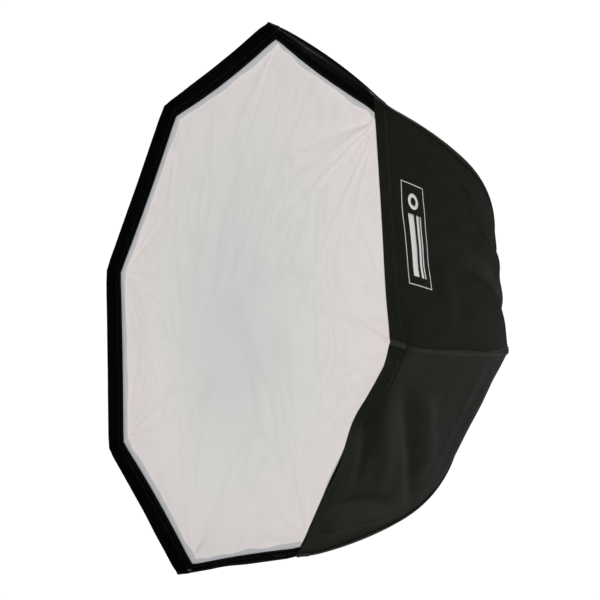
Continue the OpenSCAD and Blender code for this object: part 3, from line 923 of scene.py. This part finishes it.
def diffuser_sheet():
    """The white cloth, set back behind its border by a short wall and stretched over the front."""
    inner = DIFFUSER_CORNER_R - 0.0018
    wall = [(inner, BORDER_DEPTH + 0.0012), (inner - 0.0006, BORDER_DEPTH + 0.004),
            (inner - 0.0030, DIFFUSER_DEPTH - 0.0040), (inner - 0.0070, DIFFUSER_DEPTH - 0.0018),
            (inner - 0.0100, DIFFUSER_DEPTH - 0.0006)]
    count = 110
    edge = inner - 0.012
    disc = [(edge * (1 - k / count) + 0.002 * (k / count), DIFFUSER_DEPTH) for k in range(count + 1)]
    loops = []
    for r, depth in wall + disc:
        share = r / inner
        bows, rounding = RIM_BOWS * share**2, CORNER_DIP / 2 * share**4
        loops.append(octagon_loop(r, depth, bows, rounding=rounding, uneven=share))
    loops = np.stack(loops)
    # The foot of the wall wanders in and out
    turn = even_turn(loops.shape[1])
    wander = sum(0.0012 * np.sin(k * turn + 1.7 * k) for k in (11, 17, 26, 38))
    foot = np.zeros(len(loops))
    foot[len(wall) - 3 : len(wall) + 3] = (0.3, 0.8, 1.0, 1.0, 0.6, 0.3)
    loops[..., ::2] *= (1 - foot[:, None] * (wander / inner)[None, :])[..., None]
    x, z = loops[..., 0], loops[..., 2]
    held_flat = np.concatenate([np.zeros(len(wall)), smooth(np.arange(count + 1) / 4)])
    loops[..., 1] -= diffuser_height(x, z) * held_flat[:, None]
    points, faces = cloth_disc(loops, 0.0005)
    index = np.zeros(len(faces), int)
    # The wall's faces take the grey painted shade of the recess behind the border.
    index[: (len(wall) - 1) * loops.shape[1]] = 1
    obj = new_object("diffuser_sheet", points, faces, ["diffuser", "diffuser_wall_shade"], index)
    place_piece(obj, "diffuser", "diffuser_white", "front_diffuser")


def border_stitching():
    """Two rows of black stitches on the border, near its outer and inner edges."""
    parts = []
    for r in (BORDER_CORNER_R - 0.003, DIFFUSER_CORNER_R + 0.0025):
        share = (BORDER_CORNER_R - r) / (BORDER_CORNER_R - DIFFUSER_CORNER_R)
        loop = rim_loop(r, BORDER_DEPTH + 0.0002, share)
        ups = np.broadcast_to(np.array([0.0, -1.0, 0.0]), loop.shape)
        parts += stitched_line(loop, ups, pitch=0.0044)
    obj = new_object("border_stitching", *joined(parts), ["black_thread"])
    place_piece(obj, "diffuser", "hook_border")


# Inside the shell


def rod_tube(i, ways, wide, tall):
    """A tube round a rod: wide and tall are its sizes across and out, with a row for each way."""
    points, across, out = seam_frame(ways, i)
    centre = points - out * ROD_INSET
    return capped(centre[:, None] + across[:, None] * wide[..., None] + out[:, None] * tall[..., None])


def nose(count, steps, blunt):
    """Shares of a tube's full size that round off its first few rings."""
    back = np.maximum(steps - np.arange(count), 0)
    return np.sqrt(np.clip(1 - (back / blunt) ** 2, 0.05, 1))[:, None]


def rod_sleeve(i):
    """The black sleeve that a rod runs in, sewn to the seam inside the shell."""
    ways = np.linspace(0.070, FRONT_ARC_L + REAR_ARC_L - 0.02, 90)
    turn = even_turn(20)
    phase = np.random.default_rng(700 + i).uniform(0, 6)
    puff = 1 + 0.05 * np.sin(ways / 0.02 + phase)[:, None]
    # The side towards the shell is pulled out into the flap that is sewn in the seam
    flap = smooth((np.cos(turn) - 0.55) / 0.4)
    wide, tall = 0.0053 * np.sin(turn) * (1 - 0.75 * flap), 0.0049 * np.cos(turn) + 0.0024 * flap
    return rod_tube(i, ways, wide * puff, tall * puff)


def corner_pocket(i):
    """The webbing pocket that holds a rod's tip, wrapped over it and sewn to the shell."""
    turn, size = even_turn(24), nose(13, 3, 3.2)
    wide = 0.0080 * np.abs(np.sin(turn)) ** 0.8 * np.sign(np.sin(turn))
    return rod_tube(i, np.linspace(0.0325, 0.0565, 13), wide * size, 0.0064 * np.cos(turn) * size)


def rod_cap(i):
    """The rubber cap on a rod's tip, round at its front end, with its lip behind the pocket."""
    turn, radius = even_turn(24), 0.0043 * nose(16, 4, 4.2)
    radius[-2:] += 0.0004
    return rod_tube(i, np.linspace(0.0345, 0.0640, 16), radius * np.sin(turn), radius * np.cos(turn))


def each_rod(name, part, material, slot, node):
    """One piece made of a part for each of the rods."""
    obj = new_object(name, *joined([part(i) for i in range(SIDES)]), [material])
    place_piece(obj, "frame", slot, node)


def baffle():
    """The inner baffle: a hemmed white octagon, pulled out by its straps at the corners."""
    corner_r = BAFFLE_HIGH.x / COS_HALF
    depth = BAFFLE_LOW.y - FRONT_Y
    count = 50
    rows = [corner_r * (1 - k / count) + 0.002 * (k / count) for k in range(count + 1)]
    loops = np.stack([octagon_loop(r, depth, 0.012 * (r / corner_r) ** 3, 28) for r in rows])
    x, z = loops[..., 0], loops[..., 2]
    rng = np.random.default_rng(9)
    sag = np.zeros_like(x)
    for _ in range(10):
        heading, wave, phase = rng.uniform(0, math.pi), rng.uniform(0.12, 0.3), rng.uniform(0, 6)
        along = x * math.cos(heading) + z * math.sin(heading)
        sag = sag + 0.0005 * np.sin(along * 2 * math.pi / wave + phase)
    loops[..., 1] += sag * smooth((corner_r - np.hypot(x, z)) / 0.08)
    hem = np.exp(-(((np.array(rows) - corner_r + 0.014) / 0.0016) ** 2))[:, None]
    loops[..., 1] += 0.0004 * hem
    obj = new_object("inner_baffle_cloth", *cloth_disc(loops, 0.0007), ["baffle"])
    place_piece(obj, "frame", "baffle_white", "inner_baffle")


def strap(i):
    """An elastic strap from the baffle's corner to the shell's seam, narrower at mid-length."""
    azimuth = math.radians(rod_azimuth(i))
    c, s = math.cos(azimuth), math.sin(azimuth)
    low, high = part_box("baffle_straps")
    y = (low.y + high.y) / 2
    shares = np.linspace(0, 1, 40)
    r = BAFFLE_HIGH.x / COS_HALF - 0.024 + 0.17 * shares
    waist = 0.010 * (1 - 0.16 * np.sin(math.pi * shares))
    ribs = 0.00015 * np.sin(shares * 240)
    grids = []
    for face in (-1, 1):
        grid = []
        for place in np.linspace(-1, 1, 9):
            aside = waist * place
            rise = face * (0.0006 + ribs) * (1 - 0.5 * abs(place) ** 4)
            grid.append(np.stack([r * c - aside * s, y + rise, r * s + aside * c], axis=-1))
        grids.append(np.stack(grid, axis=1))
    return slab(grids[0], grids[1])


def snap(i):
    """The press stud on a strap: a domed cap with a rolled rim, as (radius, height) points."""
    outline = [(0.0002, 0.0022), (0.0022, 0.0021), (0.0040, 0.0015), (0.0046, 0.0009),
               (0.0052, 0.0012), (0.0060, 0.0010), (0.0062, 0.0004), (0.0060, 0.0)]
    azimuth = math.radians(rod_azimuth(i))
    r = BAFFLE_HIGH.x / COS_HALF - 0.012
    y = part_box("baffle_snaps")[1].y
    turn = even_turn(32)
    radius, tall = np.array(outline).T[:, :, None]
    x, z = r * math.cos(azimuth) + radius * np.cos(turn), r * math.sin(azimuth) + radius * np.sin(turn)
    return capped(np.stack(np.broadcast_arrays(x, y - tall, z), axis=-1))


# Back


def back_cuff():
    """The gathered cuff that closes the shell's rear opening round the speed ring."""
    low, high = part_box("back_collar")
    outer_r, front, back = high.x, low.y, high.y
    # (radius, Y) round its section, from the outer edge over the outside and back through the inside
    outline = [
        (outer_r, front), (outer_r - 0.006, front + 0.0030), (outer_r - 0.014, front + 0.0066),
        (0.0905, front + 0.0098), (0.0868, front + 0.0118), (0.0858, front + 0.0135),
        (0.0862, back - 0.0022), (0.0856, back - 0.0004), (0.0844, back),
        (0.0836, back - 0.0006), (0.0837, front + 0.0110), (0.0880, front + 0.0088),
        (outer_r - 0.014, front + 0.0052), (outer_r - 0.006, front + 0.0016),
    ]
    turn = even_turn(288)
    gather = np.sin(turn * 46) + 0.5 * np.sin(turn * 71 + 1.0)
    rings = []
    for k, (r, y) in enumerate(outline):
        fold = 0.0004 * gather * (1 if 1 <= k <= 6 else 0.3)
        radius = r + fold
        ring = [radius * np.cos(turn), y + 0.4 * fold, radius * np.sin(turn)]
        rings.append(np.stack(ring, axis=-1))
    obj = new_object("back_cuff", *loops_solid(np.stack(rings)), ["shell"])
    place_piece(obj, "frame", "shell_nylon", "back_collar")


def knob():
    """The lock knob: eight rounded flutes, a domed end and a short skirt."""
    low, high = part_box("lock_knob")
    centre_y, centre_z = (low.y + high.y) / 2, (low.z + high.z) / 2
    # Shares of its length and of its radius
    stations = [
        (0.0, 0.55), (0.0, 0.66), (0.02, 0.70), (0.16, 0.72), (0.22, 0.90), (0.28, 0.98),
        (0.40, 1.0), (0.80, 1.0), (0.90, 0.97), (0.96, 0.90), (0.99, 0.78), (1.0, 0.62),
        (0.985, 0.40), (0.98, 0.15), (0.98, 0.01),
    ]
    turn = even_turn(192)
    share, size = np.array(stations).T[:, :, None]
    flute = 0.11 * smooth((size - 0.72) / 0.2) * (0.5 + 0.5 * np.cos(turn * 8)) ** 2
    r = (high.z - low.z) / 2 * (size - flute * size)
    x, y, z = low.x + share * (high.x - low.x), centre_y + r * np.cos(turn), centre_z + r * np.sin(turn)
    rings = np.stack(np.broadcast_arrays(x, y, z), axis=-1)
    obj = new_object("lock_knob_grip", *capped(rings), ["knob"])
    place_piece(obj, "lock", "knob_plastic", "lock_knob")


def coated(node, material, sharp=35):
    """A carried-over CAD node, with its material."""
    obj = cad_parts[node]
    obj.data.materials.clear()
    obj.data.materials.append(MATERIALS[material])
    smooth_by_angle(obj, sharp)
    return obj


def bevelled(node, material, width):
    """A carried-over CAD node, with its material and softly broken edges."""
    bevel = coated(node, material).modifiers.new("edges", "BEVEL")
    bevel.width = width
    bevel.segments = 2
    bevel.limit_method = "ANGLE"
    bevel.angle_limit = math.radians(40)
    bevel.harden_normals = True


def carried_over():
    bevelled("speed_ring", "ring", 0.0008)
    bevelled("retaining_ring", "ring", 0.0004)
    bevelled("mount_ring", "mount", 0.0005)
    bevelled("retaining_screws", "steel", 0.0002)
    bevelled("lock_screw", "steel", 0.0003)
    bevelled("rod_ferrules", "brass", 0.0004)
    for i in range(SIDES):
        coated(f"rib_rod_{i + 1}", "rod", 50)


# Camera, lights and floor

CAMERA_FROM = (3.3798, -2.1018, -1.1344)  # in shell radii, from the middle of the front edge
CAMERA_HEADING = 54.126  # of its line of sight, from +Y towards -X
CAMERA_RISE = 15.782  # of its line of sight, above the horizon
CAMERA_ROLL = 3.452
CAMERA_LENS = 69.62  # in mm, on a sensor 36 mm wide


def camera():
    data = bpy.data.cameras.new("camera")
    data.sensor_width = 36
    data.lens = CAMERA_LENS
    obj = bpy.data.objects.new("camera", data)
    bpy.context.scene.collection.objects.link(obj)
    heading, rise = math.radians(CAMERA_HEADING), math.radians(CAMERA_RISE)
    level = Vector((-math.sin(heading), math.cos(heading), 0))
    sight = level * math.cos(rise) + Vector((0, 0, math.sin(rise)))
    look = sight.to_track_quat("-Z", "Y").to_matrix().to_4x4()
    roll = Matrix.Rotation(math.radians(-CAMERA_ROLL), 4, "Z")
    place = Vector(CAMERA_FROM) * SHELL_R + Vector((0, FRONT_Y, 0))
    obj.matrix_world = Matrix.Translation(place) @ look @ roll
    bpy.context.scene.camera = obj


def area_light(name, place, target, size, power):
    data = bpy.data.lights.new(name, "AREA")
    data.size = size
    data.energy = power
    obj = bpy.data.objects.new(name, data)
    bpy.context.scene.collection.objects.link(obj)
    obj.visible_camera = False
    obj.location = place
    obj.rotation_mode = "QUATERNION"
    obj.rotation_quaternion = (Vector(target) - Vector(place)).to_track_quat("-Z", "Y")


def studio():
    """A white surround that lights the softbox only a little, with large soft lights round it."""
    scene = bpy.context.scene
    scene.view_settings.view_transform = "Standard"
    world = bpy.data.worlds.new("studio")
    scene.world = world
    world.use_nodes = True
    nodes, links = world.node_tree.nodes, world.node_tree.links
    background = nodes["Background"]
    background.inputs["Color"].default_value = (1, 1, 1, 1)
    path = nodes.new("ShaderNodeLightPath")
    strength = nodes.new("ShaderNodeMapRange")
    strength.inputs["To Min"].default_value = 0.09
    strength.inputs["To Max"].default_value = 1.05
    links.new(path.outputs["Is Camera Ray"], strength.inputs["Value"])
    links.new(strength.outputs["Result"], background.inputs["Strength"])
    area_light("front_soft", (-1.8, -4.2, 0.8), (0, -0.5, 0), 1.8, 87)
    area_light("side_soft", (3.2, -3.1, -0.3), (0.3, -0.4, -0.05), 0.7, 70)
    area_light("low_soft", (2.4, -1.8, -2.2), (0.3, -0.3, -0.3), 0.8, 5)
    area_light("backdrop_right", (2.5, 2.6, 0.5), (0.3, -0.2, 0), 1.6, 30)
    area_light("rear_soft", (-1.6, 2.9, 3.3), (0, -0.2, 0), 2.0, 32)
    area_light("backdrop_low", (0.9, 2.9, -1.1), (0.3, -0.2, -0.2), 1.2, 34)
    area_light("left_soft", (-3.2, -0.6, 0.8), (0, -0.3, 0), 1.6, 30)


def floor():
    """A plain pale floor, far below the softbox, which hangs at head height on its lamp."""
    low = CAD_LOW.z - 0.95
    steps = np.linspace(-7.0, 7.0, 8)
    points = [(x, y, low) for x in steps for y in steps]
    new_object("floor", points, grid_faces(8, 8, flip=True), ["floor"])


for sector in range(SIDES):
    shell_panel(sector)
hem_stitching()
seams()
label()
loop_flange()
border()
diffuser_sheet()
border_stitching()
each_rod("rod_sleeve_cloth", rod_sleeve, "webbing", "webbing_black", "rib_sleeves")
each_rod("corner_pocket_webbing", corner_pocket, "webbing", "webbing_black", "corner_pockets")
each_rod("rod_rubber_caps", rod_cap, "rubber", "tip_rubber", "rod_tips")
baffle()
each_rod("elastic_straps", strap, "elastic", "strap_white", "baffle_straps")
each_rod("press_studs", snap, "snap", "snap_metal", "baffle_snaps")
back_cuff()
knob()
carried_over()
camera()
studio()
floor()
